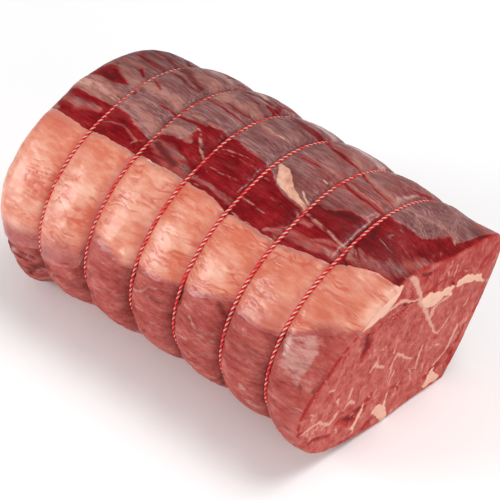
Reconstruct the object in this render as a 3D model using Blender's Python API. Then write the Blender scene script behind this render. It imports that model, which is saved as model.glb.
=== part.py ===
"""Raw beef roasting joint, boned, rolled and tied with six loops of butcher's twine.

The joint lies on its flat underside with its length along X and its cut end towards +X. Y runs
from its fat-covered front (-Y) to its lean back (+Y), and Z is up. Every cross-section is drawn in
polar form about a spine that runs through the joint: an angle of 0 degrees points to the back, 90
to the crown, 180 to the front and 270 to the underside.

Solids: the beef, the fat cover let into its front, and six loops of twine, each with its knot.
"""

import math

import bmesh
import bpy
import numpy as np
from mathutils import Vector

MM = 0.001

# Stations along the joint
STRING_STATIONS = (-70.5 * MM, -41.5 * MM, -13.0 * MM, 13.5 * MM, 42.0 * MM, 69.0 * MM)
FAR_END = -103.1 * MM
CUT_END = 93.0 * MM  # where the cut face crosses the height of CUT_PIVOT
CUT_PIVOT = 40.0 * MM
CUT_LEAN = 0.10  # the cut face leans out by this much for each unit of height
PLACEMENT = Vector((2.8, 3.1, 0.0)) * MM  # brings the middle of the joint over the origin

# The rolled cross-section: a mean radius, an oval that leans back, and a slight third lobe
SPINE_HEIGHT = 42.5 * MM
SPINE_OFFSET = 0.5 * MM
MEAN_RADIUS = 57.6 * MM
OVAL = 3.5 * MM
OVAL_LEAN = math.radians(29)
LOBE = 1.2 * MM
LOBE_LEAN = math.radians(57)
UNDERSIDE_ROUNDING = 11.0 * MM  # the section eases onto the floor within this height

# Hollows in the rolled section, where the meat is tucked in low on the front. For each: its
# depth, its angle, its spread, and its share of the depth at stations in millimetres.
FOOT_HOLLOW = (7.5 * MM, math.radians(222), math.radians(24), (-92, -72, 72, 92), (0, 1, 1, 0))
FAR_HOLLOW = (5.5 * MM, math.radians(196), math.radians(22), (-102, -80), (1, 0))

# How the rolled section changes along the joint, for each HALF_LENGTH from the middle
HALF_LENGTH = 100.0 * MM
WIDEN = 0.03
SINK = -0.05
SINK_AT_ENDS = -0.04
DRIFT = 6.5 * MM
DRIFT_AT_ENDS = -2.1 * MM

# The outline of the cut face, as a hull that a smooth curve follows: (Y, Z) in millimetres,
# from the back corner down the back, along the underside, round the nose and over the crown
CUT_HULL_MM = (
    (67, 81), (55, 42), (47, 15), (42, -10), (7, -3), (-16, 1), (-38, 5),
    (-52, 11), (-66, 32), (-58, 50), (-40, 66), (-25, 79), (2, 91), (27, 78),
)  # fmt: skip

# Bulges between the strings, from the far end to the cut end, deepest low on the front
BULGES = (3.0 * MM, 4.9 * MM, 4.9 * MM, 4.0 * MM, 3.8 * MM, 3.7 * MM, 4.0 * MM)
BULGE_MORE_IN_FRONT = 1.3 * MM
BULGE_DEEPEST = math.radians(215)
BULGE_FULLNESS = 0.7
GROOVE_HALF_WIDTH = 2.0 * MM
FAR_BULGE_STARTS = -16.0 * MM  # from the far end
CUT_BULGE_ENDS = 6.0 * MM  # from the cut face
BULGE_RINGS = (0.2, 0.5, 0.8)

# Rounded rims of the two ends
CUT_RIM = 1.6 * MM
FAR_RIM = 14.0 * MM
FAR_RIM_STEPS = (90, 62, 32, 0)  # degrees round the rim, from the end face to the side
CUT_BLEND_STARTS = STRING_STATIONS[-1] + 3.0 * MM

# The fat cover: its edges as angles at stations in millimetres, and its depth
FAT_TOP_EDGE = ((-98, 120), (-70, 121), (-20, 121), (20, 123), (50, 119), (70, 112), (82, 105), (98, 103))
FAT_LOW_EDGE = ((-98, 186), (-60, 182), (-42, 170), (-10, 164), (40, 160), (70, 158), (98, 150))
FAT_DEPTH_AT_TOP = 6.0 * MM
FAT_DEPTH_AT_FOOT = 1.8 * MM
GAP = 0.3 * MM

# Twine
TWINE_RADIUS = 0.9 * MM
TWINE_LIFT = TWINE_RADIUS + 0.4 * MM  # from the bottom of the groove to the twine's centre line
GROOVE_FLOOR = 2 * TWINE_LIFT  # height of a groove under the joint
TURN_STEP = math.radians(0.5)  # half the arc over which the groove's slope is measured
KNOT_ANGLE = math.radians(-14)
KNOT_STAGGER = math.radians(3)
KNOT_HALF_SIZE = Vector((1.7, 2.6, 3.4)) * MM  # along X, outwards, along the loop
KNOT_LIFT = 1.9 * MM
TAIL_LENGTH = 9.0 * MM
TAIL_SPREAD = 2.2 * MM

# Points round a ring
LEAN_POINTS = 36
FAT_POINTS = 12
TWINE_POINTS = 52
TWINE_BEVEL_RESOLUTION = 1
CURVE_STEPS = 24  # points of the smooth cut outline for each corner of its hull


# ---------------------------------------------------------------- materials
def make_material(name, colour, roughness):
    """A Principled material of one colour."""
    material = bpy.data.materials.new(name)
    material.use_nodes = True
    shader = material.node_tree.nodes["Principled BSDF"]
    shader.inputs["Base Color"].default_value = (*colour, 1.0)
    shader.inputs["Roughness"].default_value = roughness
    shader.inputs["Metallic"].default_value = 0.0
    material.diffuse_color = (*colour, 1.0)
    return material


# ---------------------------------------------------------------- cross-section
def ease(start, end, value):
    """0 before start, 1 after end, and a smooth rise between them."""
    t = min(max((value - start) / (end - start), 0.0), 1.0)
    return t * t * (3 - 2 * t)


def smooth_closed_curve(hull, steps):
    """Points of the closed uniform cubic B-spline that follows the hull."""
    curve = []
    count = len(hull)
    for i in range(count):
        a, b, c, d = (hull[(i + k) % count] for k in (-1, 0, 1, 2))
        for step in range(steps):
            t = step / steps
            curve.append(
                (
                    a * (1 - t) ** 3
                    + b * (3 * t**3 - 6 * t**2 + 4)
                    + c * (-3 * t**3 + 3 * t**2 + 3 * t + 1)
                    + d * t**3
                )
                / 6
            )
    return np.array(curve)


def polar_table(curve, centre):
    """The curve's angles about centre, rising through one turn, and its radii."""
    arms = curve - centre
    angles = np.mod(np.arctan2(arms[:, 1], arms[:, 0]), 2 * math.pi)
    radii = np.hypot(arms[:, 0], arms[:, 1])
    order = np.argsort(angles)
    return angles[order], radii[order]


CUT_ANGLES, CUT_RADII = polar_table(
    smooth_closed_curve(np.array(CUT_HULL_MM) * MM, CURVE_STEPS),
    np.array((0.0, SPINE_HEIGHT)),
)


def cut_radius(angle):
    """Radius of the cut face's outline at an angle."""
    return float(np.interp(angle % (2 * math.pi), CUT_ANGLES, CUT_RADII, period=2 * math.pi))


def hollow(x, angle, rule):
    """Depth of a hollow at a station and an angle, from one of the rules at the top."""
    depth, middle, spread, stations, shares = rule
    turn = math.remainder(angle - middle, 2 * math.pi) / spread
    return depth * math.exp(-turn * turn) * ease(0, 1, float(np.interp(x / MM, stations, shares)))


def rolled_radius(x, angle):
    """Radius of the rolled section at a station and an angle."""
    oval = OVAL * math.cos(2 * (angle - OVAL_LEAN))
    lobe = LOBE * math.cos(3 * (angle - LOBE_LEAN))
    hollows = hollow(x, angle, FOOT_HOLLOW) + hollow(x, angle, FAR_HOLLOW)
    return MEAN_RADIUS + oval + lobe - hollows


def settled(z, floor):
    """A height after the meat settles on its underside: the slope and the floor, smoothly joined."""
    above = z - floor
    if above < -UNDERSIDE_ROUNDING:
        return floor
    if above > UNDERSIDE_ROUNDING:
        return z
    return floor + (above + UNDERSIDE_ROUNDING) ** 2 / (4 * UNDERSIDE_ROUNDING)


def section_point(x, angle, out, floor):
    """(Y, Z) of the joint's surface, at a distance outside the level where strings hold it."""
    u = x / HALF_LENGTH
    radius = rolled_radius(x, angle) + out
    y = radius * math.cos(angle) * (1 + WIDEN * u * u) + SPINE_OFFSET + DRIFT * u + DRIFT_AT_ENDS * u * u
    z = (SPINE_HEIGHT + radius * math.sin(angle)) * (1 + SINK * u + SINK_AT_ENDS * u * u)
    z = settled(z, floor)
    blend = ease(CUT_BLEND_STARTS, CUT_END, x)
    cut = cut_radius(angle)
    y += (cut * math.cos(angle) - y) * blend
    z += (max(SPINE_HEIGHT + cut * math.sin(angle), 0.0) - z) * blend
    return y, z


def bulge(x, angle):
    """How far the meat stands out past the strings' level between two strings."""
    edges = (FAR_END + FAR_BULGE_STARTS, *STRING_STATIONS, CUT_END + CUT_BULGE_ENDS)
    for height, low, high in zip(BULGES, edges, edges[1:]):
        if low <= x <= high:
            start, end = low + GROOVE_HALF_WIDTH, high - GROOVE_HALF_WIDTH
            share = min(max((x - start) / (end - start), 0.0), 1.0)
            height += BULGE_MORE_IN_FRONT * math.cos(angle - BULGE_DEEPEST)
            return height * (1 - (2 * share - 1) ** 2) ** BULGE_FULLNESS
    return 0.0


def skin_point(x, angle, inset=0.0):
    """A point of the joint's outer surface, or inset from it towards the spine."""
    in_groove = any(abs(x - s) <= GROOVE_HALF_WIDTH * 1.01 for s in STRING_STATIONS)
    y, z = section_point(x, angle, bulge(x, angle), GROOVE_FLOOR if in_groove else 0.0)
    y -= inset * math.cos(angle)
    z -= inset * math.sin(angle)
    lean = CUT_LEAN * (z - CUT_PIVOT) * ease(CUT_BLEND_STARTS, CUT_END, x)
    return Vector((x + lean, y, z)) + PLACEMENT


# ---------------------------------------------------------------- rings
def ring_places():
    """(station, inset) of each ring, from the far end to the cut end."""
    places = []
    for degrees in FAR_RIM_STEPS:
        turn = math.radians(degrees)
        places.append((FAR_END + FAR_RIM * (1 - math.sin(turn)), FAR_RIM * (1 - math.cos(turn))))
    edges = (*STRING_STATIONS, CUT_END - CUT_RIM + GROOVE_HALF_WIDTH)
    for station, following in zip(edges, edges[1:]):
        start, end = station + GROOVE_HALF_WIDTH, following - GROOVE_HALF_WIDTH
        stops = [station - GROOVE_HALF_WIDTH, start]
        stops += [start + (end - start) * share for share in BULGE_RINGS]
        places += [(stop, 0.0) for stop in stops]
    return places + [(CUT_END - CUT_RIM, 0.0), (CUT_END, CUT_RIM)]


def edge_angle(edge, x):
    """Angle, in radians, of an edge of the fat cover at a station."""
    stations, degrees = zip(*edge)
    return math.radians(np.interp(x / MM, stations, degrees))


def fat_depth(share):
    """Depth of the fat cover at a share of the way from its top edge to its foot."""
    return FAT_DEPTH_AT_TOP + (FAT_DEPTH_AT_FOOT - FAT_DEPTH_AT_TOP) * share


def beef_ring(x, inset):
    """A ring of the beef: round the lean, then along the pocket that holds the fat cover."""
    top, foot = edge_angle(FAT_TOP_EDGE, x), edge_angle(FAT_LOW_EDGE, x)
    ring = [
        skin_point(x, angle, inset)
        for angle in np.linspace(foot, top + 2 * math.pi, LEAN_POINTS)
    ]
    for share in np.linspace(0, 1, FAT_POINTS):
        angle = top + (foot - top) * share
        ring.append(skin_point(x, angle, inset + fat_depth(share) + GAP))
    return ring


def fat_ring(x, inset):
    """A ring of the fat cover: along its outside and back along its inside."""
    side_gap = GAP / MEAN_RADIUS
    top = edge_angle(FAT_TOP_EDGE, x) + side_gap
    foot = edge_angle(FAT_LOW_EDGE, x) - side_gap
    outside, inside = [], []
    for share in np.linspace(0, 1, FAT_POINTS):
        angle = top + (foot - top) * share
        outside.append(skin_point(x, angle, inset))
        inside.append(skin_point(x, angle, inset + fat_depth(share)))
    return outside + inside[::-1]


# ---------------------------------------------------------------- solids
def add_object(name, bm, material):
    """Turns a bmesh into a smooth-shaded object with one material."""
    bmesh.ops.recalc_face_normals(bm, faces=bm.faces)
    mesh = bpy.data.meshes.new(name)
    bm.to_mesh(mesh)
    bm.free()
    mesh.shade_smooth()
    mesh.set_sharp_from_angle(angle=math.radians(50))
    mesh.materials.append(material)
    part = bpy.data.objects.new(name, mesh)
    bpy.context.scene.collection.objects.link(part)
    return part


def loft(name, rings, material):
    """A closed solid through rings of equal count, with a flat face on each end."""
    bm = bmesh.new()
    loops = [[bm.verts.new(point) for point in ring] for ring in rings]
    for near, following in zip(loops, loops[1:]):
        for i in range(len(near)):
            j = (i + 1) % len(near)
            bm.faces.new((near[i], near[j], following[j], following[i]))
    bm.faces.new(reversed(loops[0]))
    bm.faces.new(loops[-1])
    return add_object(name, bm, material)


def twine_point(station, angle):
    """A point of the twine's centre line, just clear of the groove that it lies in."""
    before, here, after = (
        Vector((station, *section_point(station, angle + turn, 0.0, GROOVE_FLOOR)))
        for turn in (-TURN_STEP, 0.0, TURN_STEP)
    )
    outwards = (after - before).cross(Vector((1, 0, 0))).normalized()
    return here + outwards * TWINE_LIFT + PLACEMENT


def tube(name, points, closed):
    """A mesh tube of the twine's thickness along points, from a bevelled curve."""
    curve = bpy.data.curves.new(name, "CURVE")
    curve.dimensions = "3D"
    curve.bevel_depth = TWINE_RADIUS
    curve.bevel_resolution = TWINE_BEVEL_RESOLUTION
    curve.use_fill_caps = not closed
    spline = curve.splines.new("POLY")
    spline.points.add(len(points) - 1)
    for slot, point in zip(spline.points, points):
        slot.co = (*point, 1.0)
    spline.use_cyclic_u = closed
    carrier = bpy.data.objects.new(name, curve)
    mesh = bpy.data.meshes.new_from_object(carrier)
    bpy.data.objects.remove(carrier)
    bpy.data.curves.remove(curve)
    return mesh


def joined_to(base, name, mesh):
    """Joins a closed mesh to base with a Boolean union, from a helper that isn't rendered."""
    helper = bpy.data.objects.new(f"{base.name}.{name}", mesh)
    helper.hide_render = True
    helper.display_type = "WIRE"
    bpy.context.scene.collection.objects.link(helper)
    union = base.modifiers.new(name, "BOOLEAN")
    union.operation = "UNION"
    union.solver = "EXACT"
    union.object = helper
    return helper


def knot_mesh(name, station, angle):
    """The lump of a knot: a small ball stretched along the loop."""
    centre = twine_point(station, angle)
    outwards = Vector((0, math.cos(angle), math.sin(angle)))
    along = Vector((0, -math.sin(angle), math.cos(angle)))
    bm = bmesh.new()
    bmesh.ops.create_uvsphere(bm, u_segments=10, v_segments=6, radius=1.0)
    for vert in bm.verts:
        size = Vector(a * b for a, b in zip(vert.co, KNOT_HALF_SIZE))
        vert.co = centre + outwards * (KNOT_LIFT + size.y) + along * size.z + Vector((size.x, 0, 0))
    mesh = bpy.data.meshes.new(name)
    bm.to_mesh(mesh)
    bm.free()
    return mesh


def tail_points(station, angle, side):
    """The centre line of one cut end of the twine, which stands off the knot."""
    centre = twine_point(station, angle)
    outwards = Vector((0, math.cos(angle), math.sin(angle)))
    along = Vector((0, -math.sin(angle), math.cos(angle)))
    points = []
    for share in (0.0, 0.35, 0.7, 1.0):
        forward = along * (-TAIL_LENGTH * share)
        lift = outwards * (KNOT_LIFT + TAIL_LENGTH * 0.45 * share)
        points.append(centre + forward + lift + Vector((side * TAIL_SPREAD * share, 0, 0)))
    return points


def make_string(number, station, material):
    """A closed loop of twine, with its knot and two cut ends on the back of the joint."""
    name = f"string_{number}"
    angles = np.linspace(0, 2 * math.pi, TWINE_POINTS, endpoint=False)
    mesh = tube(name, [twine_point(station, angle) for angle in angles], closed=True)
    mesh.shade_smooth()
    mesh.materials.append(material)
    string = bpy.data.objects.new(name, mesh)
    bpy.context.scene.collection.objects.link(string)
    knot_angle = KNOT_ANGLE + KNOT_STAGGER * ((number % 3) - 1)
    joined_to(string, "knot", knot_mesh(f"{name}.knot", station, knot_angle))
    for side, label in ((-1, "tail_a"), (1, "tail_b")):
        points = tail_points(station, knot_angle, side)
        joined_to(string, label, tube(f"{name}.{label}", points, closed=False))
    return string


# ---------------------------------------------------------------- the joint
def build_joint():
    """Makes the beef, its fat cover and its strings."""
    for old in list(bpy.data.objects):
        bpy.data.objects.remove(old, do_unlink=True)
    beef = make_material("beef", (0.42, 0.07, 0.06), 0.35)
    fat = make_material("beef_fat", (0.86, 0.56, 0.42), 0.4)
    twine = make_material("twine", (0.72, 0.16, 0.14), 0.8)
    places = ring_places()
    loft("beef", [beef_ring(*place) for place in places], beef)
    loft("fat_cover", [fat_ring(*place) for place in places], fat)
    for number, station in enumerate(STRING_STATIONS, start=1):
        make_string(number, station, twine)


build_joint()
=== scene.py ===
# %% [markdown]
# # A tied beef roasting joint
# The real thing is one long muscle, boned, rolled, and tied with six loops of red and white
# twine. One end is a fresh cut, the front carries a cover of fat, and a thin silver skin lies
# over the back and the top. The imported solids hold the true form. This lesson dresses them with
# surfaces worked out by numpy, and with materials made from nodes.

# %% Load the frame
import functools
import math

import bpy
import numpy as np
from mathutils import Matrix, Vector


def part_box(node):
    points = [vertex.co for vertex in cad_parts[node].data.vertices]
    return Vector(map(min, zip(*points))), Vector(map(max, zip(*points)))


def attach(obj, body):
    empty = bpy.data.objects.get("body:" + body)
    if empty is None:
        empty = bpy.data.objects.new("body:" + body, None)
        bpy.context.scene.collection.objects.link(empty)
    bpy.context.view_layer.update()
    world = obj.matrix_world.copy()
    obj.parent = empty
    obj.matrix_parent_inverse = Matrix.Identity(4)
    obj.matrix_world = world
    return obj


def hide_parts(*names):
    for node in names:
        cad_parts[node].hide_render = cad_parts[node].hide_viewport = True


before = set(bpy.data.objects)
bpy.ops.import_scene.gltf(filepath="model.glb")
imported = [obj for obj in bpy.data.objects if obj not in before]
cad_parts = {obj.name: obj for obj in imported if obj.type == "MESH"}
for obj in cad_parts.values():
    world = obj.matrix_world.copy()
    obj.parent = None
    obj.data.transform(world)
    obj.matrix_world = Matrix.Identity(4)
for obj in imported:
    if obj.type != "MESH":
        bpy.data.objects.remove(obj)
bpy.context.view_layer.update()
MM = 0.001
print("solids:", sorted(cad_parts))

# %% [markdown]
# ## Where things are
# All sizes below are millimetres along the joint, and angles go round it: 0 degrees is the back,
# 90 the crown, 180 the front, 270 the underside. The stations of the strings and of the far end
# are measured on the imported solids, so the looks always fit them. The cut leans, so it is given
# by its station at one height.

# %% Stations
def middle_station(node):
    """Station of the middle of a node's box."""
    low, high = (corner[0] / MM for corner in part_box(node))
    return (low + high) / 2


PLACE = np.array([2.8, 3.1, 0.0])  # how far the joint was moved to centre it over the origin
strings = np.array([middle_station(f"string_{i}") for i in range(1, 7)]) - PLACE[0]
FAR_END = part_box("beef")[0][0] / MM - PLACE[0]
CUT_END, CUT_PIVOT, CUT_LEAN = 93.0, 40.0, 0.10  # station at the pivot's height, and slope
CUT_BLEND = strings[5] + 3.0  # from here on the section turns into the cut's outline
FAR_RIM, CUT_RIM = 14.0, 1.6  # how round the rims of the two ends are
SPINE = 42.5  # height of the line that the angles turn about
print("strings at", np.round(strings, 1), "far end", round(FAR_END, 1))

# %% [markdown]
# ## The section
# The joint could be sculpted by hand, but a section in polar form is easier to control: one
# radius for each station and angle. A mean circle gets an oval, a slight third lobe and two
# hollows low on the front. Near the cut end it turns into the outline of the cut face, which is a
# smooth closed curve pulled along by a few corners.

# %% Curves of one value
def ease(start, end, value):
    """0 before start, 1 after end, and between them 3t^2 - 2t^3 of the share t."""
    t = np.clip((value - start) / (end - start), 0.0, 1.0)
    return t * t * (3 - 2 * t)


def within(value, rise, full, fade, gone):
    """1 from full to fade, eased from 0 at rise and back to 0 at gone."""
    return ease(rise, full, value) * ease(gone, fade, value)


def bell(value, spread):
    """e to the power of minus the square of value over spread."""
    return np.exp(-((value / spread) ** 2))


def decay(distance, reach):
    """e to the power of minus distance over reach."""
    return np.exp(-distance / reach)


def strongest(*shares):
    """The largest of several shares at each point."""
    return functools.reduce(np.maximum, shares)


# %% Section of the rolled meat
def turn_from(angle, middle_angle):
    """Signed turn in degrees from middle_angle to angle, the short way round."""
    return np.mod(angle - middle_angle + 180, 360) - 180


CUT_HULL = np.array([  # corners that pull the outline of the cut face: across, up
    (67, 81), (55, 43), (45.5, 18), (33, -9), (7, -3), (-16, 1), (-38, 5),
    (-52, 11), (-66, 32), (-58, 50), (-40, 66), (-25, 79), (2, 91), (27, 78)], float)


def smooth_closed_curve(hull, steps=24):
    """Closed cubic B-spline: each stretch blends four corners by the cubic basis weights."""
    t = np.arange(steps)[:, None] / steps
    weights = ((1 - t) ** 3, 3 * t**3 - 6 * t**2 + 4, -3 * t**3 + 3 * t**2 + 3 * t + 1, t**3)
    stretches = [
        sum(w * hull[(i + k) % len(hull)] for w, k in zip(weights, (-1, 0, 1, 2))) / 6
        for i in range(len(hull))
    ]
    return np.concatenate(stretches)


cut_arms = smooth_closed_curve(CUT_HULL) - (0, SPINE)
cut_turns = np.degrees(np.mod(np.arctan2(cut_arms[:, 1], cut_arms[:, 0]), 2 * np.pi))
cut_order = np.argsort(cut_turns)


def cut_radius(angle):
    """Radius of the cut face's outline, read off the smooth curve at each angle."""
    radii = np.hypot(*cut_arms.T)[cut_order]
    return np.interp(np.mod(angle, 360), cut_turns[cut_order], radii, period=360)


def hollow(x, angle, depth, at, spread, stations, shares):
    """A hollow: depth times a bell curve of the turn, faded along the joint."""
    return depth * bell(turn_from(angle, at), spread) * ease(0, 1, np.interp(x, stations, shares))


MEAN_RADIUS, OVAL, OVAL_LEAN, LOBE, LOBE_LEAN = 57.6, 3.5, 29, 1.2, 57


def rolled_radius(x, angle):
    """Mean radius + oval cos 2a + lobe cos 3a - hollows."""
    a = np.radians(angle)
    oval = OVAL * np.cos(2 * (a - np.radians(OVAL_LEAN)))
    lobe = LOBE * np.cos(3 * (a - np.radians(LOBE_LEAN)))
    foot = hollow(x, angle, 7.5, 222, 24, (-92, -72, 72, 92), (0, 1, 1, 0))
    far = hollow(x, angle, 5.5, 196, 22, (-102, -80), (1, 0))
    return MEAN_RADIUS + oval + lobe - foot - far


print("mean radius at the middle", round(float(rolled_radius(0.0, np.arange(360.0)).mean()), 2))

# %% [markdown]
# ## Bulges between the strings
# Tight twine cuts in and the meat swells between two loops. The swelling is a flattened arch of
# the share of the way between two strings. It rises steeply beside the twine, which is what makes
# a loop look sunk in. Under the joint the weight flattens everything onto the board, apart from
# a groove for the twine.

# %% Skin of the joint
BULGES = np.array([3.0, 4.9, 4.9, 4.0, 3.8, 3.7, 4.0])  # heights, from the far end
MORE_IN_FRONT, DEEPEST, FULLNESS = 1.3, 215, 0.62
BEFORE_FAR_END, PAST_CUT = 16, 6  # the first and last bulge reach past the ends
GROOVE_FLOOR, GROOVE_WIDTH = 2.6, 1.6  # the grooves under the joint, for the twine
HALF_LENGTH, WIDEN, SINK, SINK_AT_ENDS = 100, 0.03, 0.05, 0.04
ASIDE, DRIFT, DRIFT_AT_ENDS = 0.5, 6.5, 2.1  # how the spine runs aside along the joint
edges = np.concatenate([[FAR_END - BEFORE_FAR_END], strings, [CUT_END + PAST_CUT]])


def between(x):
    """Which bulge a station is in, and its share of the way through it."""
    k = np.clip(np.searchsorted(edges, x, side="right") - 1, 0, 6)
    return k, np.clip((x - edges[k]) / (edges[k + 1] - edges[k]), 0, 1)


def bulge(x, angle):
    """Height times (1 - (2s - 1)^2) to the power of the fullness, higher low on the front."""
    k, s = between(x)
    height = BULGES[k] + MORE_IN_FRONT * np.cos(np.radians(angle - DEEPEST))
    return height * (1 - (2 * s - 1) ** 2) ** FULLNESS


def string_distance(x):
    """Distance in millimetres to the nearest string."""
    return np.min(np.abs(np.asarray(x)[..., None] - strings), axis=-1)


def next_string(x):
    """Distance in millimetres to the next string towards the cut end."""
    ahead = strings - np.asarray(x)[..., None]
    return np.min(np.where(ahead < -0.3, 99.0, np.abs(ahead)), axis=-1)


def settled(z, floor, rounding=11.0):
    """Height after the meat settles: the floor, the slope, and a quadratic that joins them."""
    above = z - floor
    joined = (above + rounding) ** 2 / (4 * rounding)
    return floor + np.where(above < -rounding, 0, np.where(above > rounding, above, joined))


def section(x, angle, out=0.0, floor=0.0):
    """Y and Z of the skin: the section widens, drifts and sinks towards the ends."""
    a, u = np.radians(angle), x / HALF_LENGTH
    r = rolled_radius(x, angle) + out
    y = r * np.cos(a) * (1 + WIDEN * u * u) + ASIDE + DRIFT * u - DRIFT_AT_ENDS * u * u
    z = settled((SPINE + r * np.sin(a)) * (1 - SINK * u - SINK_AT_ENDS * u * u), floor)
    w, cut = ease(CUT_BLEND, CUT_END, x), cut_radius(angle)
    y = y + (cut * np.cos(a) - y) * w
    z = z + (np.maximum(SPINE + cut * np.sin(a), 0) - z) * w
    return y, z


def skin(x, angle, out=0.0, inset=0.0):
    """Points of the skin, out past it or inset from it, as an array of X, Y, Z."""
    x, angle = np.broadcast_arrays(np.asarray(x, float), np.asarray(angle, float))
    floor = GROOVE_FLOOR * bell(string_distance(x), GROOVE_WIDTH)
    w = ease(CUT_BLEND, CUT_END, x)
    y, z = section(x, angle, bulge(x, angle), floor)
    a = np.radians(angle)
    y = y + (out - inset) * np.cos(a)
    z = z + (out - inset) * np.sin(a)
    return np.stack([x + CUT_LEAN * (z - CUT_PIVOT) * w, y, np.maximum(z, 0.0)], -1)


# %% [markdown]
# ## Random but repeatable
# Meat is never even. Value noise gives each corner of a lattice a number from a hash, and blends
# the eight corners round a point. Summing finer and fainter copies gives detail at every scale.
# Stretching the lattice along the joint turns blobs into fibres. Each call has a seed of its own.

# %% Value noise
def corner_value(i, j, k, seed):
    """A number from 0 to 1 for each lattice corner: integers mixed, shifted and multiplied."""
    h = (i * 0x8DA6B343) ^ (j * 0xD8163841) ^ (k * 0xCB1AB31F) ^ (seed * 0x9E3779B1)
    h = h & 0xFFFFFFFF
    h = ((h ^ (h >> 13)) * 0x5BD1E995) & 0xFFFFFFFF
    h = ((h ^ (h >> 15)) * 0x27D4EB2D) & 0xFFFFFFFF
    return ((h ^ (h >> 16)) & 0xFFFFFF) / 0xFFFFFF


def value_noise(p, seed):
    """Corner values blended by 6t^5 - 15t^4 + 10t^3 of the place in the cell."""
    base = np.floor(p).astype(np.int64)
    t = p - base
    t = t * t * t * (t * (t * 6 - 15) + 10)
    total = 0.0
    for di in (0, 1):
        for dj in (0, 1):
            for dk in (0, 1):
                weight = np.where(di, t[..., 0], 1 - t[..., 0])
                weight = weight * np.where(dj, t[..., 1], 1 - t[..., 1])
                weight = weight * np.where(dk, t[..., 2], 1 - t[..., 2])
                i, j, k = base[..., 0] + di, base[..., 1] + dj, base[..., 2] + dk
                total = total + weight * corner_value(i, j, k, seed)
    return total


def fractal(p, seed, octaves=3):
    """Octaves of noise from -1 to 1, each at twice the pitch and 0.55 of the strength."""
    total, strength, norm = 0.0, 1.0, 0.0
    for octave in range(octaves):
        total = total + strength * (2 * value_noise(p * 2.0**octave, seed + octave) - 1)
        norm, strength = norm + strength, strength * 0.55
    return total / norm


NOISE_RADIUS = 58  # about the joint's own, so that a cell keeps its size all round


def round_noise(x, angle, along, across, seed, octaves=3):
    """Noise over the skin with cells of along by across millimetres, seamless all round."""
    y, z = (NOISE_RADIUS * turn(np.radians(angle)) / across for turn in (np.cos, np.sin))
    p = np.stack([x / along, y, z], -1)
    return fractal(p, seed, octaves)


# %% [markdown]
# ## Marks on the skin
# Streaks of bare muscle, islands of fat and seams are marks along short paths. A path is a few
# points of station, angle and width. The distance from every point of the skin to the path says
# how strong the mark is. One degree round the joint is about one millimetre, so both count alike.

# %% Path marks
def path_mark(u, v, path, soft):
    """1 inside a path's width and 0 outside, feathered over soft or less where it is thin."""
    best = np.full(np.shape(u), -np.inf)
    for (u0, v0, w0), (u1, v1, w1) in zip(path, path[1:]):
        du, dv = u1 - u0, v1 - v0
        t = np.clip(((u - u0) * du + (v - v0) * dv) / (du * du + dv * dv + 1e-9), 0, 1)
        width = w0 + (w1 - w0) * t
        d = np.hypot(u - u0 - t * du, v - v0 - t * dv)
        best = np.maximum(best, (width / 2 - d) / np.minimum(soft, 0.3 + 0.35 * width))
    return ease(-1, 1, best)


def marks(u, v, paths, soft):
    """The strongest of several marks at each point."""
    total = np.zeros(np.shape(u))
    for path in paths:
        total = np.maximum(total, path_mark(u, v, path, soft))
    return total


# Edges of the fat cover and of the bare muscle above it: station, angle
FAT_TOP = np.array([
    (-103, 119), (-80, 121), (-70, 121.5), (-55, 121.5), (-20, 121), (5, 121), (14, 123.5),
    (32, 122.5), (43, 122.5), (50, 120.5), (62, 118), (70, 115.5), (77, 111), (84, 105), (93, 102)])
FAT_FOOT = np.array([
    (-103, 186), (-72, 184), (-60, 183), (-44, 179), (-40, 164), (-33, 162), (-25, 165),
    (-14, 167), (-12, 164), (-4, 163.5), (4, 163), (12, 162), (15, 160), (24, 160), (32, 157),
    (41, 154), (44, 156.5), (55, 156), (67, 155), (76, 150), (93, 138)])
BARE_TOP = np.array([
    (-103, 106), (-71, 105), (-60, 107.5), (-52, 109.5), (-42, 112), (-41, 107), (-27, 106),
    (-25, 98), (-23, 91.5), (-12, 91.2), (-5, 92), (0, 93.3), (12, 93.4), (14, 93.8), (20, 97.6),
    (23, 100), (30, 102.4), (41, 103.2), (43, 96), (50, 97.4), (55, 93), (58, 90.8), (68, 90.4),
    (70, 80.6), (74, 82), (78, 78.5), (83, 74), (85, 60), (88, 50), (90, 38), (93, 30)])
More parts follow.
